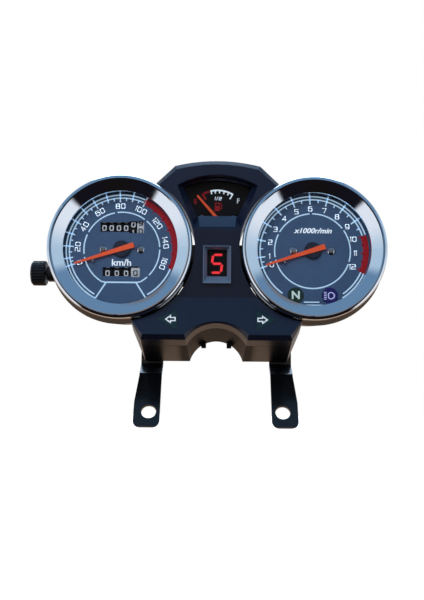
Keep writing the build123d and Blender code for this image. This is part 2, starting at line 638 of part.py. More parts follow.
fuel_lens_depth = 6.5
gear_front = 1.2
gear_lens_depth = 6.0
gear_window_up = GEAR_UP + GEAR_WINDOW_RISE
screw_spots = [(side * (GAUGE_X - 36.4), HOOD_TOP - 13.7) for side in (-1, 1)]
screw_spots += [(side * (HOLE_X - 3.25), -RIM_R - 5.5) for side in (-1, 1)]
centre_stud_x = HOLE_X
centre_stud_up = -RIM_R - 10.5
centre_harness_up = HOOD_TOP - 23.7
damper_front = CUP_DEPTH
bracket_front = CUP_DEPTH + BRACKET_GAP
bracket_rear = bracket_front + BRACKET_T
stud_end = bracket_rear + 7

with BuildPart() as fascia_posts:
    for post_x, post_up in screw_spots:
        bar(post_x, post_up, 0, SPLIT_DEPTH, 4.0)
    add(outer_form.part, mode=Mode.INTERSECT)

with BuildPart() as centre_fascia:
    add(outer_form.part)
    add(front_half.part, mode=Mode.INTERSECT)
    add(inner_form.part, mode=Mode.SUBTRACT)
    add(fascia_posts.part)
    for post_x, post_up in screw_spots:
        bar(post_x, post_up, 5.0, SPLIT_DEPTH, 1.5, Mode.SUBTRACT)
    # Bevelled well of the fuel gauge.
    with BuildSketch(at_depth(fuel_lens_depth)):
        fuel_outline(2.0, well_low - 1.0)
    extrude(amount=fuel_lens_depth - 2.0)
    with BuildSketch(at_depth(fuel_lens_depth)):
        fuel_outline(0.0, well_high)
    with BuildSketch(at_depth(-0.2)):
        fuel_outline(4.4, well_low)
    loft(mode=Mode.SUBTRACT)
    with BuildSketch(at_depth(SPLIT_DEPTH, 0, GEAR_UP)):
        Rectangle(GEAR_W + FIT, GEAR_H + FIT)
    extrude(amount=20, mode=Mode.SUBTRACT)
    for side in (-1, 1):
        with BuildSketch(at_depth(SPLIT_DEPTH)):
            turn_outline(side, FIT / 2)
        extrude(amount=20, mode=Mode.SUBTRACT)
save(centre_fascia, "centre_fascia")

with BuildPart() as centre_case:
    add(outer_form.part)
    add(rear_half.part, mode=Mode.INTERSECT)
    with BuildPart(mode=Mode.PRIVATE) as room:
        add(inner_form.part)
        add(rear_room.part, mode=Mode.INTERSECT)
    add(room.part, mode=Mode.SUBTRACT)
    for post_x, post_up in screw_spots:
        bar(post_x, post_up, SPLIT_DEPTH + SPLIT_GAP, CENTRE_REAR, 4.6)
    add(outer_form.part, mode=Mode.INTERSECT)
    for post_x, post_up in screw_spots:
        bar(post_x, post_up, 20.0, CENTRE_REAR, 3.2, Mode.SUBTRACT)
        bar(post_x, post_up, SPLIT_DEPTH, 20.0, 1.7, Mode.SUBTRACT)
    for side in (-1, 1):
        bar(side * centre_stud_x, centre_stud_up, CENTRE_REAR, damper_front, 6.0)
        bar(side * centre_stud_x, centre_stud_up, damper_front, stud_end, STUD_R)
        bar(side * TURN_X, TURN_UP, CENTRE_REAR - WALL, CENTRE_REAR, LAMP_R - 0.7, Mode.SUBTRACT)
    bar(0, centre_harness_up, CENTRE_REAR - WALL, CENTRE_REAR, 5.0, Mode.SUBTRACT)
    # Two short ribs hang from the arch's rear edge.
    for side in (-1, 1):
        with BuildSketch(at_depth(CENTRE_REAR, side * 9.2, arch_up - 15.5)):
            Rectangle(3.4, 5.0)
        extrude(amount=5.0)
save(centre_case, "centre_case")

with BuildPart() as case_screws:
    for post_x, post_up in screw_spots:
        bar(post_x, post_up, 6.0, 20.0, 1.45)
        bar(post_x, post_up, 20.0, 22.2, 3.0)
        with BuildSketch(at_depth(22.2, post_x, post_up)):
            Rectangle(3.4, 0.7)
            Rectangle(0.7, 3.4)
        extrude(amount=1.2, mode=Mode.SUBTRACT)
save(case_screws, "case_screws")

# ---- fuel gauge ----
with BuildPart() as fuel_gauge_lens:
    with BuildSketch(at_depth(fuel_lens_depth + 1.6)):
        fuel_outline(1.6, well_high - 4.0)
    extrude(amount=1.6)
save(fuel_gauge_lens, "fuel_gauge_lens")

with BuildPart() as fuel_gauge_dial:
    with BuildSketch(at_depth(FUEL_DIAL_DEPTH + DIAL_T)):
        fuel_outline(1.6, well_high - 4.0)
        with Locations((0, FUEL_UP)):
            Circle(1.6, mode=Mode.SUBTRACT)
        fuel_screw_up = FUEL_UP + FUEL_SCREW_RISE
        with Locations((-FUEL_SCREW_X, fuel_screw_up), (FUEL_SCREW_X, fuel_screw_up)):
            Circle(1.4, mode=Mode.SUBTRACT)
    extrude(amount=DIAL_T)
save(fuel_gauge_dial, "fuel_gauge_dial")

fuel_can_front = FUEL_DIAL_DEPTH + DIAL_T
fuel_can_rear = fuel_can_front + 13
with BuildPart() as fuel_gauge_movement:
    bar(0, FUEL_UP, fuel_can_front, fuel_can_rear, FUEL_CAN_R)
    for lug_x in (-FUEL_SCREW_X, FUEL_SCREW_X):
        bar(lug_x, FUEL_UP + FUEL_SCREW_RISE, fuel_can_front, CENTRE_REAR - WALL, 2.8)
        lug_bore_end = FUEL_DIAL_DEPTH + SCREW_L + 0.2
        bar(lug_x, fuel_screw_up, fuel_can_front, lug_bore_end, 1.3, Mode.SUBTRACT)
    bar(0, FUEL_UP, fuel_can_front, fuel_can_rear - 5, 0.8 + RUNNING, Mode.SUBTRACT)
save(fuel_gauge_movement, "fuel_gauge_movement")

fuel_blade_depth = 10.2
with BuildPart() as fuel_pointer:
    blade(0, FUEL_UP, fuel_blade_depth, 0.7, FUEL_REACH, 4.0, 2.4, 1.3, radians(FUEL_REST))
    bar(0, FUEL_UP, fuel_blade_depth + 0.7, fuel_blade_depth + 1.9, 1.2)
    bar(0, FUEL_UP, fuel_blade_depth + 1.9, fuel_can_rear - 6, 0.8)
save(fuel_pointer, "fuel_pointer")

# Wedge that sits on the well's sloping floor and hides the fuel pointer's pivot.
floor_slope = (well_high - well_low) / (fuel_lens_depth + 0.2)
cover_front = 0.7
cover_top = well_high - FIT
cover_low = well_low + floor_slope * (cover_front + 0.2) + FIT
with BuildPart() as fuel_pointer_cover:
    with BuildSketch(across(-FUEL_FOOT_X + 0.2, 0, 0)):
        with BuildLine():
            Polyline((cover_front, cover_low), (cover_front, cover_top),
                     (cover_front + (cover_top - cover_low) / floor_slope, cover_top), close=True)
        make_face()
    extrude(amount=2 * FUEL_FOOT_X - 0.4)
    with BuildSketch(at_depth(fuel_lens_depth)):
        with BuildLine():
            Polyline((1.4 - FUEL_FOOT_X, well_low), (FUEL_FOOT_X - 1.4, well_low),
                     (FUEL_FOOT_X - 0.3, cover_top), (0.3 - FUEL_FOOT_X, cover_top), close=True)
        make_face()
    extrude(amount=8, mode=Mode.INTERSECT)
save(fuel_pointer_cover, "fuel_pointer_cover")

# ---- gear display ----
with BuildPart() as gear_display_bezel:
    with BuildSketch(at_depth(8.6, 0, GEAR_UP)):
        Rectangle(GEAR_W, GEAR_H)
    extrude(amount=8.6 - gear_front)
    with BuildSketch(at_depth(gear_lens_depth, 0, gear_window_up)):
        Rectangle(GEAR_WINDOW_W, GEAR_WINDOW_H)
    with BuildSketch(at_depth(gear_front, 0, GEAR_UP)):
        Rectangle(GEAR_W - 1.0, GEAR_H - 1.0)
    loft(mode=Mode.SUBTRACT)
    with BuildSketch(at_depth(8.6, 0, gear_window_up)):
        Rectangle(GEAR_WINDOW_W + 1.6, GEAR_WINDOW_H + 1.6)
    extrude(amount=8.6 - gear_lens_depth, mode=Mode.SUBTRACT)
save(gear_display_bezel, "gear_display_bezel")

with BuildPart() as gear_display_lens:
    with BuildSketch(at_depth(gear_lens_depth + 1.2, 0, gear_window_up)):
        Rectangle(GEAR_WINDOW_W + 1.4, GEAR_WINDOW_H + 1.4)
    extrude(amount=1.2)
save(gear_display_lens, "gear_display_lens")

board_front = 20.0
with BuildPart() as gear_display_module:
    with BuildSketch(at_depth(board_front, 0, GEAR_UP)):
        Rectangle(16.0, 22.0)
    extrude(amount=board_front - 8.8)
save(gear_display_module, "gear_display_module")

with BuildPart() as centre_circuit_board:
    with BuildSketch(at_depth(board_front + 1.6, 0, GEAR_UP)):
        Rectangle(22.0, 38.0)
    extrude(amount=1.6)
    for chip_up in (-10, 6):
        with BuildSketch(at_depth(board_front + 1.6, 0, GEAR_UP + chip_up)):
            Rectangle(12, 6)
        extrude(amount=-2.4)
    for post_up in (-17, 17):
        bar(0, GEAR_UP + post_up, board_front + 1.6, CENTRE_REAR - WALL, 1.8)
save(centre_circuit_board, "centre_circuit_board")

# ---- indicator lamps ----
for name, side in (("left_turn_lens", -1), ("right_turn_lens", 1)):
    with BuildPart() as turn_lens:
        with BuildSketch(at_depth(SPLIT_DEPTH)):
            turn_outline(side)
        extrude(amount=20)
        behind_face(0.0)
        behind_face(WALL, Mode.SUBTRACT)
    save(turn_lens, name)

lamps = [(-TURN_X, TURN_UP, CENTRE_REAR), (TURN_X, TURN_UP, CENTRE_REAR),
         (GAUGE_X - LAMP_X, lamps_up, CUP_DEPTH), (GAUGE_X + LAMP_X, lamps_up, CUP_DEPTH)]
socket_r = LAMP_R - 0.7
with BuildPart() as bulb_sockets:
    for lamp_x, lamp_up, wall_rear in lamps:
        bar(lamp_x, lamp_up, wall_rear - 13, wall_rear, socket_r)
        bar(lamp_x, lamp_up, wall_rear, wall_rear + 2, socket_r + 1.6)
        bar(lamp_x, lamp_up, wall_rear + 2, wall_rear + BRACKET_GAP - 0.5, socket_r - 1.6)
        bar(lamp_x, lamp_up, wall_rear - 13, wall_rear - 6, 2.6, Mode.SUBTRACT)
save(bulb_sockets, "bulb_sockets")

with BuildPart() as indicator_bulbs:
    for lamp_x, lamp_up, wall_rear in lamps:
        with BuildSketch(turning(lamp_x, lamp_up)):
            tip = wall_rear - 25
            with BuildLine():
                Polyline((0, wall_rear - 6), (2.5, wall_rear - 6), (2.5, tip + 2.5))
                round_x = 2.5 * sin(radians(45))
                ThreePointArc((2.5, tip + 2.5), (round_x, tip + 2.5 - round_x), (0, tip))
                Line((0, tip), (0, wall_rear - 6))
            make_face()
        revolve(axis=axis_at(lamp_x, lamp_up))
save(indicator_bulbs, "indicator_bulbs")

# ---- rubber grommets for the wiring ----
grommet_bore = 3.0
with BuildPart() as harness_grommets:
    for hole_x, hole_up, wall_rear in ((GAUGE_X, HARNESS_UP, CUP_DEPTH),
                                       (0, centre_harness_up, CENTRE_REAR)):
        with BuildSketch(turning(hole_x, hole_up)):
            ring_profile([
                (grommet_bore, wall_rear - WALL - 1.2), (6.5, wall_rear - WALL - 1.2),
                (6.5, wall_rear - WALL),
                (5.0, wall_rear - WALL), (5.0, wall_rear), (6.5, wall_rear), (5.2, wall_rear + 2.6),
                (grommet_bore, wall_rear + 2.6),
            ])
        revolve(axis=axis_at(hole_x, hole_up))
save(harness_grommets, "harness_grommets")

# ---- mounting bracket, dampers, washers and nuts ----
tilt = radians(TAB_TILT)
leg_in = HOLE_X - 7.9
leg_out = HOLE_X + 8.4
tab_out = HOLE_X + 10.7
tab_top = (TAB_UP * sin(tilt), TAB_UP * cos(tilt))
tab_end = (-TAB_DOWN * sin(tilt), -TAB_DOWN * cos(tilt))
plate_y = bracket_rear - GAUGE_REACH
knee = (plate_y, tab_top[1] + 7.3)
bar_up = 12.0
bar_low = -20.0
bar_x = GAUGE_X + STUD_X + 8
plate_top = GAUGE_RISE + bar_up
bracket_studs = [(side * (GAUGE_X + dx), STUD_UP) for side in (-1, 1) for dx in (-STUD_X, STUD_X)]
bracket_studs += [(side * centre_stud_x, centre_stud_up) for side in (-1, 1)]

with BuildPart() as mounting_bracket:
    with BuildSketch(Plane(origin=(-bar_x, 0, 0), x_dir=(0, 1, 0), z_dir=(1, 0, 0))):
        with BuildLine() as rear_line:
            FilletPolyline(tab_end, tab_top, knee, (plate_y, plate_top), radius=4.0)
        with BuildLine() as front_line:
            offset(rear_line.line, amount=BRACKET_T, side=Side.LEFT)
        make_face(front_line.edges())
    extrude(amount=2 * bar_x)
    with BuildSketch(at_depth(bracket_rear + 1)) as plan:
        with Locations((0, (bar_up + bar_low) / 2)):
            RectangleRounded(2 * bar_x, bar_up - bar_low, 7)
        for side in (-1, 1):
            with BuildLine():
                low = tab_end[1] - GAUGE_RISE
                flare = low + 18
                Polyline((side * leg_in, bar_low + 2), (side * leg_out, bar_low + 2),
                         (side * leg_out, tab_top[1] - GAUGE_RISE), (side * tab_out, flare),
                         (side * tab_out, low), (side * leg_in, low), close=True)
            make_face()
        fillet(plan.vertices().group_by(Axis.Z)[0], 5.0)
    extrude(amount=80, mode=Mode.INTERSECT)
    bar(-GAUGE_X, 0, bracket_front - 1, bracket_rear + 1, 10.0, Mode.SUBTRACT)
    bar(GAUGE_X, HARNESS_UP, bracket_front - 1, bracket_rear + 1, 9.0, Mode.SUBTRACT)
    for stud_x, stud_up in bracket_studs:
        bar(stud_x, stud_up, bracket_front - 1, bracket_rear + 1, STUD_R + 0.6, Mode.SUBTRACT)
    for side in (-1, 1):
        with BuildSketch(Plane((side * HOLE_X, 0, 0), (1, 0, 0), (0, -cos(tilt), sin(tilt)))):
            Circle(HOLE_R)
        extrude(amount=6, both=True, mode=Mode.SUBTRACT)
save(mounting_bracket, "mounting_bracket")

with BuildPart() as bracket_dampers:
    for stud_x, stud_up in bracket_studs:
        bar(stud_x, stud_up, damper_front, bracket_front, DAMPER_R)
        bar(stud_x, stud_up, damper_front, bracket_front, STUD_R, Mode.SUBTRACT)
save(bracket_dampers, "bracket_dampers")

with BuildPart() as bracket_nuts:
    for stud_x, stud_up in bracket_studs:
        bar(stud_x, stud_up, bracket_rear, bracket_rear + 1.2, 6.0)
        with BuildSketch(at_depth(bracket_rear + 5.2, stud_x, stud_up)):
            RegularPolygon(4.6, 6)
        extrude(amount=4.0)
        bar(stud_x, stud_up, bracket_rear, bracket_rear + 5.2, STUD_R, Mode.SUBTRACT)
save(bracket_nuts, "bracket_nuts")
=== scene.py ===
import json
from math import cos, radians, sin

import bmesh
import bpy
from mathutils import Matrix, Vector


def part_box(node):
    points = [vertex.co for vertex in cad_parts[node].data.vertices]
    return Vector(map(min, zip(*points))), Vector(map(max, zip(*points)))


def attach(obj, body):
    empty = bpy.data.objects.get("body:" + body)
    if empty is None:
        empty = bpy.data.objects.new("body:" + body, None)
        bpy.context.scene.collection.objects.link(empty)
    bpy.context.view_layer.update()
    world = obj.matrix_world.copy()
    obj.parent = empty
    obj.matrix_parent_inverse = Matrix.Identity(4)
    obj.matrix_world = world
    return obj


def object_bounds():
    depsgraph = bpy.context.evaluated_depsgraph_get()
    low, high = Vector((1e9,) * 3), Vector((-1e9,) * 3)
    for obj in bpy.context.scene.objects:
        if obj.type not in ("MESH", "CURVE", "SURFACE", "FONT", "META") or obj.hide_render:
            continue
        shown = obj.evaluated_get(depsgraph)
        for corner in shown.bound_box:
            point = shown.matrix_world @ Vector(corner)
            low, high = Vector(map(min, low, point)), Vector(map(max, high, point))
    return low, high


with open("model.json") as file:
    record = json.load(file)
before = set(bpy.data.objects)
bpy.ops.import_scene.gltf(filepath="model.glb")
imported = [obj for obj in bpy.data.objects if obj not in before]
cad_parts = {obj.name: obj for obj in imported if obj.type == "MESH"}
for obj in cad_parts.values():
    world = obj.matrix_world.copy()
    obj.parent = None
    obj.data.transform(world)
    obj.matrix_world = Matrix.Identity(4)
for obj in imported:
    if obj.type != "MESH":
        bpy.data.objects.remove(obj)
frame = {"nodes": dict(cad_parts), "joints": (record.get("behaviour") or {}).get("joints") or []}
cad_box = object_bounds()
nodes = frame["nodes"]
MM = 0.001

# ---- camera ----
# The viewer stands in front, a little below the dials' axis, and looks slightly up.
left_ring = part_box("speedometer_bezel_ring")
right_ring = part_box("tachometer_bezel_ring")
dial_centre = (left_ring[0] + left_ring[1] + right_ring[0] + right_ring[1]) / 4
lip_height = 4 * MM
ring_plane_y = left_ring[0].y + lip_height
gauge_z = dial_centre.z
gauge_x = (right_ring[0].x + right_ring[1].x) / 2

eye_distance = 548 * MM
eye_drop = radians(10.7)
aim_below_axes = 30.1 * MM
camera_roll = radians(0.5)
eye = Vector((0, ring_plane_y - eye_distance * cos(eye_drop),
              gauge_z - eye_distance * sin(eye_drop)))
aim = Vector((0, ring_plane_y, gauge_z - aim_below_axes))
camera_data = bpy.data.cameras.new("camera")
camera_data.sensor_width = 36
camera_data.lens = 47.8
camera_data.shift_x = -0.008
camera_data.shift_y = -0.016
camera_data.clip_start = 0.01
camera = bpy.data.objects.new("camera", camera_data)
camera.location = eye
camera.rotation_mode = "QUATERNION"
level = (aim - eye).to_track_quat("-Z", "Y")
camera.rotation_quaternion = level @ Matrix.Rotation(camera_roll, 4, "Z").to_quaternion()
bpy.context.scene.collection.objects.link(camera)
bpy.context.scene.camera = camera


# ---- studio floor and light ----
# A plain white sweep, which only the camera sees. What the chrome and the plastics reflect is a
# dim room: blue light from above, a bright soft wall on each side, a warm floor behind the
# cluster, a grey wall behind the viewer and a dark table straight below.
def linear(hex_colour):
    """sRGB hex to linear RGBA."""
    parts = [int(hex_colour[i:i + 2], 16) / 255 for i in (1, 3, 5)]
    straight = [p / 12.92 if p <= 0.04045 else ((p + 0.055) / 1.055) ** 2.4 for p in parts]
    return tuple(straight) + (1.0,)


def add_node(tree, kind, settings=None, inputs=None):
    """One node, with its settings, and its inputs set to values or linked to sockets."""
    made = tree.nodes.new(kind)
    for key, value in (settings or {}).items():
        setattr(made, key, value)
    for key, value in (inputs or {}).items():
        if isinstance(value, bpy.types.NodeSocket):
            tree.links.new(value, made.inputs[key])
        else:
            made.inputs[key].default_value = value
    return made


world = bpy.data.worlds.new("studio")
bpy.context.scene.world = world
world.use_nodes = True
sky = world.node_tree
sky.nodes.clear()
direction = add_node(sky, "ShaderNodeTexCoord")
axes = add_node(sky, "ShaderNodeSeparateXYZ", inputs={"Vector": direction.outputs["Generated"]})
east, back, up = axes.outputs["X"], axes.outputs["Y"], axes.outputs["Z"]
aside = add_node(sky, "ShaderNodeMath", {"operation": "ABSOLUTE"}, {0: east}).outputs["Value"]
smooth = {"interpolation_type": "SMOOTHSTEP"}
coloured = {"data_type": "RGBA"}

# Each zone lies over those before it: the direction it faces, the limits between which it fades
# in, the heights between which it ends, the heights between which its lower colour turns to its
# upper one, and those two colours. The limits and heights are parts of a unit direction.
ceiling, no_ceiling, level_tone = (0.62, 0.45), (3, 2), (-1, 1)
zones = (
    (up, (-3, -2), no_ceiling, (-0.2, 0.55), "#15131A", "#6C8FB0"),
    (aside, (0.64, 0.71), ceiling, (-0.3, 0.3), "#F4F8FF", "#B9D2E6"),
    (back, (-0.86, -0.96), no_ceiling, level_tone, "#8A8584", "#8A8584"),
    (back, (0.25, 0.45), no_ceiling, (-0.1, 0.1), "#C2A58E", "#E4ECF4"),
    (up, (-0.80, -0.95), no_ceiling, level_tone, "#16130F", "#16130F"),
)
room = (0, 0, 0, 1)
for facing, fade, top, turn, lower, upper in zones:
    height = add_node(sky, "ShaderNodeMapRange", smooth,
                      {"Value": up, "From Min": turn[0], "From Max": turn[1]})
    tint = add_node(sky, "ShaderNodeMix", coloured,
                    {"Factor": height.outputs["Result"], "A": linear(lower), "B": linear(upper)})
    reach = add_node(sky, "ShaderNodeMapRange", smooth,
                     {"Value": facing, "From Min": fade[0], "From Max": fade[1]})
    under = add_node(sky, "ShaderNodeMapRange", smooth,
                     {"Value": up, "From Min": top[0], "From Max": top[1]})
    cover = add_node(sky, "ShaderNodeMath", {"operation": "MULTIPLY"},
                     {0: reach.outputs["Result"], 1: under.outputs["Result"]})
    layered = add_node(sky, "ShaderNodeMix", coloured,
                       {"Factor": cover.outputs["Value"], "A": room, "B": tint.outputs["Result"]})
    room = layered.outputs["Result"]

surround = add_node(sky, "ShaderNodeBackground", inputs={"Color": room, "Strength": 1.0})
paper = add_node(sky, "ShaderNodeBackground", inputs={"Color": (1, 1, 1, 1), "Strength": 1.0})
ray = add_node(sky, "ShaderNodeLightPath")
choice = add_node(sky, "ShaderNodeMixShader", inputs={0: ray.outputs["Is Camera Ray"],
                                                      1: surround.outputs["Background"],
                                                      2: paper.outputs["Background"]})
add_node(sky, "ShaderNodeOutputWorld", inputs={"Surface": choice.outputs["Shader"]})
bpy.context.scene.view_settings.view_transform = "Standard"

floor_half = 3.0
floor_z = cad_box[0].z - 60 * MM
corners = [(x * floor_half, y * floor_half, floor_z) for x, y in ((-1, -1), (1, -1), (1, 1), (-1, 1))]
floor_mesh = bpy.data.meshes.new("floor")
floor_mesh.from_pydata(corners, [], [(0, 1, 2, 3)])
floor = bpy.data.objects.new("floor", floor_mesh)
bpy.context.scene.collection.objects.link(floor)
floor.visible_glossy = False
floor.visible_diffuse = False
floor_paint = bpy.data.materials.new("white_paper_sweep")
floor_paint.use_nodes = True
floor_shader = floor_paint.node_tree.nodes["Principled BSDF"]
floor_shader.inputs["Base Color"].default_value = linear("#F7F5F2")
floor_shader.inputs["Roughness"].default_value = 0.9
floor_shader.inputs["Emission Color"].default_value = (1, 1, 1, 1)
floor_shader.inputs["Emission Strength"].default_value = 1.0
floor_mesh.materials.append(floor_paint)


def soft_light(name, place, target, size, power, colour):
    """A large soft box that the camera doesn't see."""
    data = bpy.data.lights.new(name, "AREA")
    data.shape = "RECTANGLE"
    data.size, data.size_y = size
    data.energy = power
    data.color = linear(colour)[:3]
    light = bpy.data.objects.new(name, data)
    light.location = place
    light.rotation_mode = "QUATERNION"
    light.rotation_quaternion = (Vector(target) - Vector(place)).to_track_quat("-Z", "Y")
    light.visible_camera = False
    bpy.context.scene.collection.objects.link(light)
    return light


middle = (0, 0, gauge_z)
key = soft_light("key", (-0.25, -0.9, gauge_z + 0.35), middle, (0.6, 0.6), 4.5, "#F4F8FF")
key.visible_glossy = False
soft_light("overhead", (0, 0.42, gauge_z + 0.85), middle, (0.9, 0.4), 6, "#BCD6F4")


# ---- moulded gauge cases and centre case ----
# Black ABS mouldings. The tool is lightly spark-eroded, which leaves a fine matt grain that
# softens every reflection. The middle of the centre case, with the arch over the ignition
# switch, has its reflections turned down as painted shade for the shadowed cavity there.
def moulded_plastic(name, colour, roughness, grain_mm, depth_mm, coat=0.0):
    """ABS or similar: dielectric, with a fine moulded grain and slight sheen variation."""
    material = bpy.data.materials.new(name)
    material.use_nodes = True
    tree = material.node_tree
    shader = tree.nodes["Principled BSDF"]
    place = add_node(tree, "ShaderNodeTexCoord")
    grain = add_node(tree, "ShaderNodeTexNoise",
                     inputs={"Vector": place.outputs["Object"], "Scale": 1 / (grain_mm * MM), "Detail": 3.0})
    patch_size = 18 * MM
    patch = add_node(tree, "ShaderNodeTexNoise",
                     inputs={"Vector": place.outputs["Object"], "Scale": 1 / patch_size, "Detail": 2.0})
    darker, lighter = (tuple(c * share for c in linear(colour)[:3]) + (1.0,) for share in (0.86, 1.14))
    tone = add_node(tree, "ShaderNodeMix", {"data_type": "RGBA"},
                    {"Factor": patch.outputs["Fac"], "A": darker, "B": lighter})
    sheen = add_node(tree, "ShaderNodeMapRange",
                     inputs={"Value": patch.outputs["Fac"], "To Min": roughness - 0.05,
                             "To Max": roughness + 0.06})
    edge = add_node(tree, "ShaderNodeBevel", {"samples": 4}, {"Radius": 0.35 * MM})
    bump = add_node(tree, "ShaderNodeBump",
                    inputs={"Height": grain.outputs["Fac"], "Distance": depth_mm * MM,
                            "Strength": 0.6, "Normal": edge.outputs["Normal"]})
    tree.links.new(tone.outputs["Result"], shader.inputs["Base Color"])
    tree.links.new(sheen.outputs["Result"], shader.inputs["Roughness"])
    tree.links.new(bump.outputs["Normal"], shader.inputs["Normal"])
    shader.inputs["IOR"].default_value = 1.53
    shader.inputs["Coat Weight"].default_value = coat
    shader.inputs["Coat Roughness"].default_value = 0.12
    return material


def paint(material, *names):
    """Gives CAD nodes a material."""
    for name in names:
        nodes[name].data.materials.clear()
        nodes[name].data.materials.append(material)


case_abs = moulded_plastic("black_abs_fine_grain", "#1B1A1C", 0.32, 0.35, 0.02)
paint(case_abs, "speedometer_case", "tachometer_case")

# Painted shade: the specular level falls from 0.5 to 0.04 towards the middle of the centre case, so the arch
# reads as shadowed.
centre_abs = moulded_plastic("black_abs_painted_shade_arch", "#1B1A1C", 0.32, 0.35, 0.02)
tree = centre_abs.node_tree
place = add_node(tree, "ShaderNodeTexCoord")
across = add_node(tree, "ShaderNodeSeparateXYZ", inputs={"Vector": place.outputs["Object"]})
from_middle = add_node(tree, "ShaderNodeMath", {"operation": "ABSOLUTE"}, {0: across.outputs["X"]})
arch_painted_shade = add_node(tree, "ShaderNodeMapRange", {"interpolation_type": "SMOOTHSTEP"},
                     {"Value": from_middle.outputs["Value"], "From Min": 24 * MM, "From Max": 30 * MM,
                      "To Min": 0.04, "To Max": 0.5})
shader = tree.nodes["Principled BSDF"]
tree.links.new(arch_painted_shade.outputs["Result"], shader.inputs["Specular IOR Level"])
paint(centre_abs, "centre_case")

# ---- centre fascia and fuel pointer cover ----
# One satin moulding between the gauges, in a blue-black ABS with a soft lacquer. The cover over
# the fuel pointer's root is a separate wedge in a slate-blue ABS.
fascia_abs = moulded_plastic("blue_black_lacquered_abs", "#101C33", 0.36, 0.5, 0.012, coat=0.1)
paint(fascia_abs, "centre_fascia")
cover_abs = moulded_plastic("slate_blue_satin_abs", "#24405C", 0.38, 0.5, 0.012)
paint(cover_abs, "fuel_pointer_cover")

# ---- chrome bezel rings ----
# Spun steel, copper-nickel-chrome plated and buffed; a faint waviness from spinning bends
# the reflections.
chrome = bpy.data.materials.new("buffed_chrome_plate")
chrome.use_nodes = True
tree = chrome.node_tree
shader = tree.nodes["Principled BSDF"]
shader.inputs["Base Color"].default_value = linear("#E4E9F0")
shader.inputs["Metallic"].default_value = 1.0
place = add_node(tree, "ShaderNodeTexCoord")
wave_length = 14 * MM
waves = add_node(tree, "ShaderNodeTexNoise",
                 inputs={"Vector": place.outputs["Object"], "Scale": 1 / wave_length})
haze = add_node(tree, "ShaderNodeMapRange",
                inputs={"Value": waves.outputs["Fac"], "To Min": 0.04, "To Max": 0.10})
ripple = add_node(tree, "ShaderNodeBump",
                  inputs={"Height": waves.outputs["Fac"], "Distance": 0.08 * MM, "Strength": 0.35})
tree.links.new(haze.outputs["Result"], shader.inputs["Roughness"])
tree.links.new(ripple.outputs["Normal"], shader.inputs["Normal"])
paint(chrome, "speedometer_bezel_ring", "tachometer_bezel_ring")


# ---- glasses ----
# Flat float glass, 2 mm, held in the rings. It has no tone of its own, so all it adds is a
# faint sheen.
def clear_sheet(name, colour, roughness, alpha, ior=1.5):
    """Thin clear pane or shell: its reflections stay while most of it is let through."""
    material = bpy.data.materials.new(name)
    material.use_nodes = True
    shader = material.node_tree.nodes["Principled BSDF"]
    shader.inputs["Base Color"].default_value = linear(colour)
    shader.inputs["Roughness"].default_value = roughness
    shader.inputs["IOR"].default_value = ior
    shader.inputs["Alpha"].default_value = alpha
    return material


float_glass = clear_sheet("clear_float_glass", "#000000", 0.02, 0.06, 1.52)
paint(float_glass, "speedometer_lens", "tachometer_lens")

# ---- rubber seals, dampers, grommets and bulb sockets ----
# Moulded black EPDM, gripped between or pushed into the parts round it. It is matt and slightly
# dusty, so it gives the eye almost no highlight.
rubber = moulded_plastic("black_epdm_rubber", "#151515", 0.72, 0.6, 0.03)
paint(rubber, "speedometer_lens_seal", "tachometer_lens_seal", "trip_knob_seal", "bracket_dampers",
      "harness_grommets", "bulb_sockets")

# ---- dials ----
# Aluminium discs, sprayed matt slate blue and screen-printed: pale inks for the scales, red
# for the upper end of each range. The printing lies on the paint as thin raised shapes.
dial_paint = moulded_plastic("matt_slate_dial_paint", "#526E92", 0.55, 0.25, 0.006)
paint(dial_paint, "speedometer_dial", "tachometer_dial")


def ink(name, colour, painted_glow=0.0):
    """Screen ink: thin, matt, slightly uneven in tone, with a painted glow of the given strength."""
    material = moulded_plastic(name, colour, 0.5, 0.3, 0.004)
    shader = material.node_tree.nodes["Principled BSDF"]
    shader.inputs["Emission Color"].default_value = linear(colour)
    shader.inputs["Emission Strength"].default_value = painted_glow
    return material


def prism(bm, outline, front, thickness):
    """Flat shape with straight sides: outline is (x, z) points, the front face looks to -Y."""
    near = [bm.verts.new((x, front, z)) for x, z in outline]
    far = [bm.verts.new((x, front + thickness, z)) for x, z in outline]
    bm.faces.new(near)
    bm.faces.new(far[::-1])
    for i in range(len(outline)):
        j = (i + 1) % len(outline)
        bm.faces.new((near[i], far[i], far[j], near[j]))


def as_piece(name, bm, material, body):
    """Turns a bmesh into a piece that rides on a body."""
    bmesh.ops.recalc_face_normals(bm, faces=bm.faces)
    mesh = bpy.data.meshes.new(name)
    bm.to_mesh(mesh)
    bm.free()
    mesh.materials.append(material)
    piece = bpy.data.objects.new(name, mesh)
    bpy.context.scene.collection.objects.link(piece)
    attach(piece, body)
    return piece


INK_T = 0.06 * MM

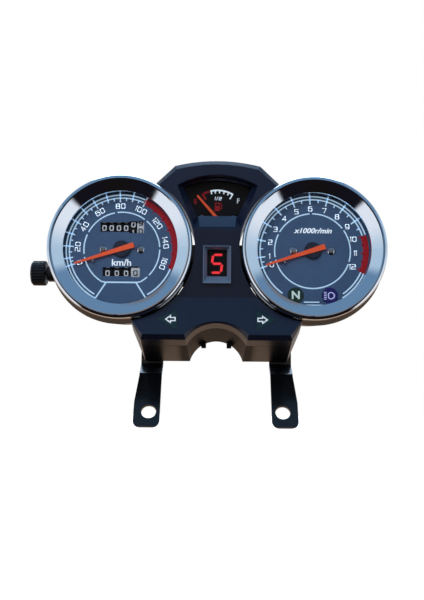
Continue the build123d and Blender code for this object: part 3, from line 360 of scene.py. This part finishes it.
# Squared figures on a unit box: runs of points, corners cut at 45 degrees.
FIGURE_PATHS = {
    "0": [[(-0.5, -0.34), (-0.5, 0.34), (-0.34, 0.5), (0.34, 0.5), (0.5, 0.34), (0.5, -0.34),
           (0.34, -0.5), (-0.34, -0.5), (-0.5, -0.34)]],
    "1": [[(0.0, -0.5), (0.0, 0.5), (-0.16, 0.4)]],
    "2": [[(-0.5, 0.5), (0.36, 0.5), (0.5, 0.36), (0.5, 0.12), (0.36, 0.0), (-0.36, 0.0), (-0.5, -0.14),
           (-0.5, -0.5), (0.5, -0.5)]],
    "3": [[(-0.5, 0.5), (0.36, 0.5), (0.5, 0.38), (0.5, 0.12), (0.38, 0.0), (-0.25, 0.0)],
          [(0.38, 0.0), (0.5, -0.12), (0.5, -0.38), (0.36, -0.5), (-0.5, -0.5)]],
    "4": [[(0.22, -0.5), (0.22, 0.5), (-0.5, -0.2), (0.5, -0.2)]],
    "5": [[(0.5, 0.5), (-0.5, 0.5), (-0.5, 0.06), (0.36, 0.06), (0.5, -0.08), (0.5, -0.36), (0.36, -0.5),
           (-0.5, -0.5)]],
    "6": [[(0.42, 0.5), (-0.34, 0.5), (-0.5, 0.34), (-0.5, -0.34), (-0.34, -0.5), (0.34, -0.5),
           (0.5, -0.34), (0.5, 0.0), (0.34, 0.14), (-0.5, 0.14)]],
    "7": [[(-0.5, 0.5), (0.5, 0.5), (0.5, 0.34), (-0.06, -0.5)]],
    "8": [[(-0.34, 0.03), (-0.46, 0.14), (-0.46, 0.38), (-0.32, 0.5), (0.32, 0.5), (0.46, 0.38),
           (0.46, 0.14), (0.34, 0.03), (-0.34, 0.03), (-0.5, -0.1), (-0.5, -0.36), (-0.36, -0.5),
           (0.36, -0.5), (0.5, -0.36), (0.5, -0.1), (0.34, 0.03)]],
    "9": [[(-0.42, -0.5), (0.34, -0.5), (0.5, -0.34), (0.5, 0.34), (0.34, 0.5), (-0.34, 0.5), (-0.5, 0.34),
           (-0.5, 0.0), (-0.34, -0.14), (0.5, -0.14)]],
}


class Dial:
    """Printing on one dial, in millimetres from its centre, angles anticlockwise from +X."""

    def __init__(self, cx, cz, face_y):
        self.cx, self.cz, self.face_y = cx, cz, face_y
        self.bm = bmesh.new()

    def shape(self, points):
        outline = [(self.cx + x * MM, self.cz + z * MM) for x, z in points]
        prism(self.bm, outline, self.face_y - INK_T, INK_T)

    def polar(self, radius, angle):
        return radius * cos(radians(angle)), radius * sin(radians(angle))

    def arc(self, inner, outer, start, end):
        steps = max(2, int(abs(end - start) / 2.5))
        angles = [start + (end - start) * i / steps for i in range(steps + 1)]
        for a, b in zip(angles, angles[1:]):
            self.shape([self.polar(inner, a), self.polar(outer, a),
                        self.polar(outer, b), self.polar(inner, b)])

    def ring(self, radius, width, start, end):
        self.arc(radius - width / 2, radius + width / 2, start, end)

    def tick(self, inner, outer, angle, width):
        ax, az = self.polar(1, angle)
        corners = ((inner, -1), (outer, -1), (outer, 1), (inner, 1))
        self.shape([(ax * r - az * s * width / 2, az * r + ax * s * width / 2) for r, s in corners])

    def line(self, start, end, width):
        run = Vector(end) - Vector(start)
        side = Vector((-run.y, run.x)).normalized() * width / 2
        self.shape([Vector(start) - side, Vector(end) - side, Vector(end) + side, Vector(start) + side])

    def words(self, text, x, z, height, turn=0.0, slant=0.0, squeeze=1.0, weight=0.0):
        """Letters centred on a point, turned anticlockwise by an angle."""
        curve = bpy.data.curves.new("letters", "FONT")
        curve.body = text
        curve.align_x = "CENTER"
        curve.align_y = "CENTER"
        curve.shear = slant
        curve.size = 1.0
        curve.offset = weight
        curve.extrude = 0.5
        holder = bpy.data.objects.new("letters", curve)
        bpy.context.scene.collection.objects.link(holder)
        bpy.context.view_layer.update()
        depsgraph = bpy.context.evaluated_depsgraph_get()
        letters = bpy.data.meshes.new_from_object(holder.evaluated_get(depsgraph))
        capital_height = 0.7
        scale = height / capital_height * MM
        spin = Matrix.Rotation(radians(turn), 4, "Z") @ Matrix.Diagonal((scale * squeeze, scale, 1, 1))
        for vertex in letters.vertices:
            flat = spin @ vertex.co
            vertex.co = (self.cx + x * MM + flat.x, self.face_y - INK_T * (0.5 + vertex.co.z),
                         self.cz + z * MM + flat.y)
        self.bm.from_mesh(letters)
        bpy.data.objects.remove(holder)
        bpy.data.meshes.remove(letters)

    def stroke(self, points, width):
        """Line of straight runs, square at its ends and corners."""
        for start, end in zip(points, points[1:]):
            run = (Vector(end) - Vector(start)).normalized() * width / 2
            self.line(Vector(start) - run, Vector(end) + run, width)

    def figures(self, text, x, z, height, wide, weight, turn=0.0, slant=0.0, gap=0.7):
        """Wide squared figures with cut corners, centred on a point, turned anticlockwise."""
        widths = [0.0 if figure == "1" else wide for figure in text]
        total = sum(widths) + (len(text) - 1) * (gap + weight)
        pen = -total / 2
        spin = Matrix.Rotation(radians(turn), 2)
        for figure, own in zip(text, widths):
            for path in FIGURE_PATHS[figure]:
                points = []
                for across, up in path:
                    flat = Vector((pen + own / 2 + across * wide + up * slant * height, up * height))
                    points.append(spin @ flat + Vector((x, z)))
                self.stroke(points, weight)
            pen += own + gap + weight

    def finish(self, name, material, body="housing", slot="dial_paint"):
        bmesh.ops.remove_doubles(self.bm, verts=self.bm.verts, dist=0.002 * MM)
        return as_piece(name, self.bm, material, body)


# The dial inks carry a painted glow that keeps the printing bright.
white_ink = ink("pale_blue_screen_ink", "#BFE0FA", 0.50)
bright_ink = ink("white_screen_ink", "#E6F2FC", 0.58)
red_ink = ink("red_screen_ink", "#B01C28", 0.14)
speed_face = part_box("speedometer_dial")[0].y
tach_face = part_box("tachometer_dial")[0].y
OUTER_R, INNER_R, STROKE = 39.0, 36.8, 1.0
THIN_R, THIN_STROKE = 26.6, 0.9


def speed_angle(speed):
    """Scale angle of a speed: closer below 20 km/h, then 14 degrees for each 10 km/h."""
    if speed < 10:
        return 198 - speed * 0.8
    if speed < 20:
        return 190 - (speed - 10) * 1.3
    return 177 - (speed - 20) * 1.4


scale = Dial(-gauge_x, gauge_z, speed_face)
scale.ring(OUTER_R, STROKE, 66, 243)
scale.ring(INNER_R, STROKE, 66, 240)
scale.ring(OUTER_R, STROKE, -22, -63)
scale.ring(INNER_R, STROKE, -22, -60)
for speed in range(0, 110, 10):
    scale.tick(33.8 if speed % 20 == 0 else 34.6, 41.0, speed_angle(speed), 0.9)
for speed in range(5, 105, 10):
    scale.tick(34.8, INNER_R, speed_angle(speed), 0.8)
for start, end in ((187.5, 157), (153, 102), (98, 54), (50, 4), (0, -43), (-47, -60), (240, 192.5)):
    scale.ring(THIN_R, THIN_STROKE, start, end)
shelf_z = -23.4
foot = Vector(scale.polar(OUTER_R, 243))
for side in (-1, 1):
    scale.line((side * 10.4, shelf_z), (side * -foot.x, foot.y), 1.0)
    scale.line((side * 13.2, -23.0), (side * 10.4, shelf_z), 0.9)
scale.line((-10.6, shelf_z), (10.6, shelf_z), 1.0)
scale.finish("speedometer_scale", white_ink)

numerals = Dial(-gauge_x, gauge_z, speed_face)
for speed in range(0, 180, 20):
    angle = speed_angle(speed)
    x, z = numerals.polar(31.0, angle)
    numerals.figures(str(speed), x, z, 3.3, 2.5, 0.52, angle - 90)
numerals.words("km/h", 0, -9.6, 4.5, squeeze=1.08, weight=0.02)
numerals.finish("speedometer_numerals", bright_ink)

band = Dial(-gauge_x, gauge_z, speed_face)
band.arc(35.4, 39.6, 66, -22)
for speed in (110, 120, 130, 140, 150, 160):
    band.tick(34.0, 36.0, speed_angle(speed), 0.9)
band.finish("speedometer_red_band", red_ink)


def rpm_angle(thousands):
    """Scale angle of an engine speed: closer below 1000 r/min, then 19 degrees for each 1000."""
    if thousands < 1:
        return 199 - thousands * 11.4
    return 187.6 - (thousands - 1) * 19


scale = Dial(gauge_x, gauge_z, tach_face)
scale.ring(OUTER_R, STROKE, 18, 238)
scale.ring(INNER_R, STROKE, 18, 235)
scale.ring(OUTER_R, STROKE, -24, -58)
scale.ring(INNER_R, STROKE, -24, -55)
for step in range(0, 20):
    inner, outer, width = (33.4, 40.8, 1.0) if step % 2 == 0 else (34.6, INNER_R, 0.8)
    scale.tick(inner, outer, rpm_angle(step / 2), width)
for start, end in ((190, 154), (150, 94), (90, 38), (34, -16), (-20, -166)):
    scale.ring(THIN_R, THIN_STROKE, start, end)
scale.line((-6.2, -36.2), (4.6, -36.2), 0.8)
scale.line((-7.8, -38.4), (7.0, -38.4), 1.0)
scale.finish("tachometer_scale", white_ink)

numerals = Dial(gauge_x, gauge_z, tach_face)
for thousand in range(0, 13):
    x, z = numerals.polar(30.2, rpm_angle(thousand))
    numerals.figures(str(thousand), x, z, 3.2, 2.5, 0.52)
numerals.words("x1000r/min", 0.4, 14.3, 3.5, slant=0.3, squeeze=1.12, weight=0.03)
numerals.finish("tachometer_numerals", bright_ink)

band = Dial(gauge_x, gauge_z, tach_face)
band.arc(35.4, 39.6, 17, -24)
for step in range(20, 25):
    band.tick(33.6 if step % 2 == 0 else 34.6, 36.0, rpm_angle(step / 2), 1.0)
band.finish("tachometer_red_band", red_ink)

# ---- counter drums ----
# Injection-moulded acetal wheels with hot-stamped figures: white on black, and black on white
# for the tenths.
black_acetal = moulded_plastic("black_acetal", "#0B0C10", 0.4, 0.3, 0.004)
white_acetal = moulded_plastic("white_acetal", "#E9EEF2", 0.4, 0.3, 0.004)
# The white figures carry a faint painted glow.
white_figure = ink("white_foil_figures", "#F2F6FA", 0.10)
black_figure = ink("black_foil_figures", "#101114")


def figures(node, body, material, offset, height_mm):
    """Ten figures wrapped round a drum, counting up as its front rolls upwards."""
    low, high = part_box(node)
    axis_y, axis_z = (low.y + high.y) / 2, (low.z + high.z) / 2
    drum_r = (high.y - low.y) / 2
    sheet = Dial((low.x + high.x) / 2, 0.0, 0.0)
    for figure in range(10):
        sheet.figures(str(figure), 0, figure * -1000.0, height_mm, 2.3, 0.72)
    bm = sheet.bm
    for figure in range(10):
        for row in range(-6, 7):
            bmesh.ops.bisect_plane(bm, geom=bm.verts[:] + bm.edges[:] + bm.faces[:], dist=1e-7,
                                   plane_co=(0, 0, -figure * 1.0 + row * 0.5 * MM), plane_no=(0, 0, 1))
    for vertex in bm.verts:
        figure = round(-vertex.co.z)
        angle = radians(offset - 36 * figure) + (vertex.co.z + figure) / drum_r
        radius = drum_r - vertex.co.y
        vertex.co = (vertex.co.x, axis_y - radius * cos(angle), axis_z + radius * sin(angle))
    as_piece(node + "_figures", bm, material, body)


for place in ("units", "tens", "hundreds", "thousands", "ten_thousands"):
    paint(black_acetal, "odometer_drum_" + place)
    figures("odometer_drum_" + place, "odometer_" + place, white_figure,
            13 if place == "units" else -3, 3.2)
for place in ("units", "tens", "hundreds"):
    paint(black_acetal, "trip_drum_" + place)
    figures("trip_drum_" + place, "trip_" + place, white_figure, -6, 3.2)
paint(white_acetal, "odometer_drum_tenths", "trip_drum_tenths")
figures("odometer_drum_tenths", "odometer_tenths", black_figure, -16, 3.2)
figures("trip_drum_tenths", "trip_tenths", black_figure, -4, 3.2)

# ---- pointers, hubs, pins and dial screws ----
# Blades sprayed orange, on dark nylon hubs that sit on the spindles; the paint carries a painted
# glow. The dial screws and the stop pins are nickel-plated steel, which catches the light as small dots.
pointer_paint = moulded_plastic("orange_paint_painted_emission", "#F26036", 0.42, 0.3, 0.004)
pointer_shader = pointer_paint.node_tree.nodes["Principled BSDF"]
# Painted glow: a constant orange emission keeps the blades bright.
pointer_shader.inputs["Emission Color"].default_value = linear("#F2542A")
pointer_shader.inputs["Emission Strength"].default_value = 0.25
paint(pointer_paint, "speedometer_pointer", "tachometer_pointer", "fuel_pointer")
hub_nylon = moulded_plastic("dark_slate_nylon", "#2A3142", 0.5, 0.3, 0.01)
paint(hub_nylon, "speedometer_pointer_hub", "tachometer_pointer_hub")


def worked_metal(name, colour, roughness, grain_mm, stretch=(1, 1, 1)):
    """Metal with a fine directional or even grain in its sheen."""
    material = bpy.data.materials.new(name)
    material.use_nodes = True
    tree = material.node_tree
    shader = tree.nodes["Principled BSDF"]
    shader.inputs["Base Color"].default_value = linear(colour)
    shader.inputs["Metallic"].default_value = 1.0
    place = add_node(tree, "ShaderNodeTexCoord")
    drawn = add_node(tree, "ShaderNodeMapping", inputs={"Vector": place.outputs["Object"], "Scale": stretch})
    grain = add_node(tree, "ShaderNodeTexNoise",
                     inputs={"Vector": drawn.outputs["Vector"], "Scale": 1 / (grain_mm * MM), "Detail": 4.0})
    sheen = add_node(tree, "ShaderNodeMapRange",
                     inputs={"Value": grain.outputs["Fac"], "To Min": roughness - 0.08,
                             "To Max": roughness + 0.10})
    bump = add_node(tree, "ShaderNodeBump",
                    inputs={"Height": grain.outputs["Fac"], "Distance": 0.01 * MM, "Strength": 0.5})
    tree.links.new(sheen.outputs["Result"], shader.inputs["Roughness"])
    tree.links.new(bump.outputs["Normal"], shader.inputs["Normal"])
    return material


nickel_plate = worked_metal("polished_nickel_steel", "#C4CAD4", 0.16, 0.4)
paint(nickel_plate, "dial_screws", "pointer_stop_pins")

# ---- lamps in the tachometer ----
# Tinted polycarbonate discs, one green and one navy. They are printed with an N for neutral and
# with the main-beam sign.
neutral_pc = moulded_plastic("green_tinted_polycarbonate", "#0C3A35", 0.22, 0.8, 0.004, coat=0.4)
beam_pc = moulded_plastic("navy_tinted_polycarbonate", "#141E78", 0.22, 0.8, 0.004, coat=0.4)
paint(neutral_pc, "neutral_lamp_lens")
paint(beam_pc, "high_beam_lamp_lens")


def lens_print(node):
    low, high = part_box(node)
    return Dial((low.x + high.x) / 2, (low.z + high.z) / 2, low.y)


sign = lens_print("neutral_lamp_lens")
sign.words("N", 0, 0, 5.4, squeeze=1.05, weight=0.03)
# The N sign's ink carries a painted glow.
sign.finish("neutral_sign", ink("mint_screen_ink", "#D6F0EA", 0.32), slot="neutral_green")

sign = lens_print("high_beam_lamp_lens")
bulb = [sign.polar(1, a) for a in range(-90, 91, 15)]
outer = [(0.2 + x * 3.4, z * 2.7) for x, z in bulb]
inner = [(0.2 + x * 2.5, z * 1.9) for x, z in bulb]
for i in range(len(bulb) - 1):
    sign.shape([inner[i], outer[i], outer[i + 1], inner[i + 1]])
sign.shape([(0.2, -2.7), (0.2, -1.9), (-0.6, -1.2), (-0.6, 1.2),
            (0.2, 1.9), (0.2, 2.7), (-1.4, 1.6), (-1.4, -1.6)])
for row in (-2.4, -1.2, 0, 1.2, 2.4):
    sign.line((-4.2, row), (-2.2, row), 0.6)
# The main-beam sign's ink carries a painted glow.
sign.finish("high_beam_sign", ink("lavender_screen_ink", "#C6CBFA", 0.35), slot="beam_blue")

# ---- fuel gauge ----
# A matt black printed face behind a clear acrylic window. A short arc runs from E to F round the
# fuel pointer's axis, over a pump sign.
face_paint = moulded_plastic("matt_black_gauge_face", "#0D0E12", 0.6, 0.3, 0.006)
paint(face_paint, "fuel_gauge_dial")
acrylic = clear_sheet("clear_acrylic_window", "#000000", 0.05, 0.12)
paint(acrylic, "fuel_gauge_lens")
joints = {joint["name"]: joint for joint in frame["joints"]}
pivot = Vector(joints["fuel_pointer_turn"]["pos_m"])
fuel_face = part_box("fuel_gauge_dial")[0].y
fuel = Dial(pivot.x, pivot.z, fuel_face)
fuel.arc(20.4, 21.6, 59, 104)
for angle, depth in ((59.5, 3.4), (68, 1.6), (77, 1.6), (86, 1.6), (95, 1.6), (103, 1.8)):
    fuel.tick(20.4 - depth, 20.9, angle, 0.9)
fuel.figures("1", -1.6, 15.1, 1.9, 1.5, 0.45, slant=0.2)
fuel.line((-0.9, 13.8), (0.5, 16.4), 0.45)
fuel.figures("2", 1.9, 15.0, 1.9, 1.5, 0.45, slant=0.2)
fuel.words("F", 14.6, 13.2, 3.6, squeeze=0.95)
fuel.finish("fuel_scale", bright_ink, slot="gauge_face")
fuel = Dial(pivot.x, pivot.z, fuel_face)
fuel.arc(20.2, 21.6, 106, 121)
fuel.tick(16.6, 21.6, 120.5, 1.3)
fuel.words("E", -15.6, 12.6, 3.4, weight=0.02)
fuel.finish("fuel_empty_mark", red_ink, slot="gauge_face")
pump = Dial(pivot.x, pivot.z, fuel_face)
pump.shape([(-1.9, 6.6), (1.5, 6.6), (1.5, 9.6), (-1.9, 9.6)])
pump.shape([(-1.9, 11.2), (1.5, 11.2), (1.5, 12.0), (-1.9, 12.0)])
pump.line((-1.55, 9.4), (-1.55, 11.4), 0.7)
pump.line((1.15, 9.4), (1.15, 11.4), 0.7)
pump.line((-2.3, 6.4), (1.9, 6.4), 0.7)
pump.line((1.5, 8.4), (2.9, 7.6), 0.6)
pump.line((2.9, 7.4), (2.9, 10.8), 0.6)
pump.line((3.0, 10.7), (1.9, 11.9), 0.6)
pump.finish("fuel_pump_sign", red_ink, slot="gauge_face")

# ---- gear display ----
# A silver-grey lacquered frame set in the fascia, with a clear window in it. Behind the window
# a red seven-segment digit is lit on a black module.
silver_paint = moulded_plastic("silver_grey_lacquer", "#66788F", 0.42, 0.4, 0.006)
paint(silver_paint, "gear_display_bezel")
paint(acrylic, "gear_display_lens")
paint(face_paint, "gear_display_module")
window_low, window_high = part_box("gear_display_lens")
digit = Dial(0.0, (window_low.z + window_high.z) / 2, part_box("gear_display_module")[0].y)
lean = 0.12
DIGIT_W, DIGIT_H, BAR_W = 7.0, 12.6, 1.7


def bar_of_digit(start, end):
    """One lit segment, hexagonal, leaning with the digit."""
    a, b = Vector(start), Vector(end)
    along = (b - a).normalized()
    side = Vector((-along.y, along.x)) * BAR_W / 2
    gap = along * 0.3
    point = along * (0.3 + BAR_W / 2)
    tips = [a + gap, a + point - side, b - point - side, b - gap, b - point + side, a + point + side]
    digit.shape([(p.x + p.y * lean, p.y) for p in tips])


w, h = DIGIT_W / 2, DIGIT_H / 2
lit_bars = (((-w, h), (w, h)), ((-w, 0), (-w, h)), ((-w, 0), (w, 0)), ((w, -h), (w, 0)),
            ((-w, -h), (w, -h)))
for start, end in lit_bars:
    bar_of_digit(start, end)
led = bpy.data.materials.new("lit_red_led_diffuser")
led.use_nodes = True
led_shader = led.node_tree.nodes["Principled BSDF"]
led_shader.inputs["Base Color"].default_value = linear("#C02028")
led_shader.inputs["Emission Color"].default_value = linear("#E8323A")
led_shader.inputs["Emission Strength"].default_value = 1.2
digit.finish("gear_digit", led, slot="gauge_face")

# ---- turn lamps ----
# Dark green polycarbonate lenses, flush in the sloping lower panel. Each carries an outlined
# arrow, printed on its face.
turn_pc = moulded_plastic("dark_green_polycarbonate", "#0B2A2B", 0.3, 0.8, 0.004, coat=0.3)
paint(turn_pc, "left_turn_lens", "right_turn_lens")
# The arrow ink carries a painted glow.
arrow_ink = ink("white_arrow_ink", "#F4FAFF", 0.2)


def arrow(node, side):
    """Outlined arrow lying on the sloping face of its lens."""
    mesh = nodes[node].data
    face = max((p for p in mesh.polygons if p.normal.y < -0.5), key=lambda p: p.area)
    normal = face.normal.copy()
    centre = mesh.vertices[face.vertices[0]].co.copy()
    low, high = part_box(node)
    middle_z = (low.z + high.z) / 2
    square_x = high.x if side < 0 else low.x
    outer = [(8.4, 0), (4.0, 3.2), (4.0, 1.5), (0.8, 1.5), (0.8, -1.5), (4.0, -1.5), (4.0, -3.2)]
    inner = [(7.0, 0), (4.8, 1.6), (4.8, 0.7), (1.6, 0.7), (1.6, -0.7), (4.8, -0.7), (4.8, -1.6)]
    stencil = Dial(square_x, middle_z, 0.0)
    for i in range(len(outer)):
        j = (i + 1) % len(outer)
        stencil.shape([(side * x, z + 0.6) for x, z in (outer[i], outer[j], inner[j], inner[i])])
    for vertex in stencil.bm.verts:
        flat = vertex.co
        on_face = centre.y - ((flat.x - centre.x) * normal.x + (flat.z - centre.z) * normal.z) / normal.y
        flat.y += on_face
    stencil.finish(node.replace("lens", "arrow"), arrow_ink, slot="turn_green")


arrow("left_turn_lens", -1)
arrow("right_turn_lens", 1)

# ---- reset knob ----
# Black acetal with grooves moulded round it for the fingers. It is fixed on the outer end of the
# trip shaft, beside the speedometer case.
knob_acetal = moulded_plastic("black_ribbed_acetal", "#121215", 0.42, 0.4, 0.012)
paint(knob_acetal, "trip_reset_knob")

# ---- mounting bracket ----
# Pressed steel strip, 2.3 mm, bent and dip-painted gloss black. The thick paint dries with a
# slight orange peel that breaks up its reflections.
bracket_paint = moulded_plastic("gloss_black_dip_paint", "#0B0B0E", 0.22, 1.6, 0.03, coat=0.5)
paint(bracket_paint, "mounting_bracket")

# ---- fasteners, shafts and inner metal ----
# Zinc-plated steel nuts, screws, shafts and movement can, a die-cast zinc alloy frame, a turned
# aluminium spindle and a nickel-washed brass cable nipple. The magnet is sintered ferrite.
zinc_plate = worked_metal("bright_zinc_plated_steel", "#B8BCC2", 0.32, 0.5)
paint(zinc_plate, "bracket_nuts", "case_screws", "odometer_shaft", "trip_shaft", "tachometer_movement",
      "tachometer_spindle")
die_cast = worked_metal("die_cast_zinc_alloy", "#9A9DA3", 0.5, 1.2)
paint(die_cast, "speedometer_frame")
turned_alloy = worked_metal("turned_aluminium", "#C9CCD1", 0.3, 0.3, (1, 6, 1))
paint(turned_alloy, "speedometer_spindle")
nipple_metal = worked_metal("nickel_washed_brass", "#B59A62", 0.3, 0.4, (1, 6, 1))
paint(nipple_metal, "cable_nipple")
ferrite = moulded_plastic("sintered_ferrite", "#2E2E31", 0.6, 0.5, 0.02)
paint(ferrite, "speedometer_magnet")

# ---- circuit boards, movements and bulbs ----
# Green solder mask on laminate, a dark nylon case round the fuel movement, and clear glass
# wedge bulbs.
solder_mask = moulded_plastic("green_solder_mask", "#1C5A34", 0.35, 2.0, 0.01)
paint(solder_mask, "tachometer_circuit_board", "centre_circuit_board")
paint(hub_nylon, "fuel_gauge_movement")
bulb_glass = clear_sheet("clear_bulb_glass", "#F1F0E8", 0.05, 0.35)
paint(bulb_glass, "indicator_bulbs")
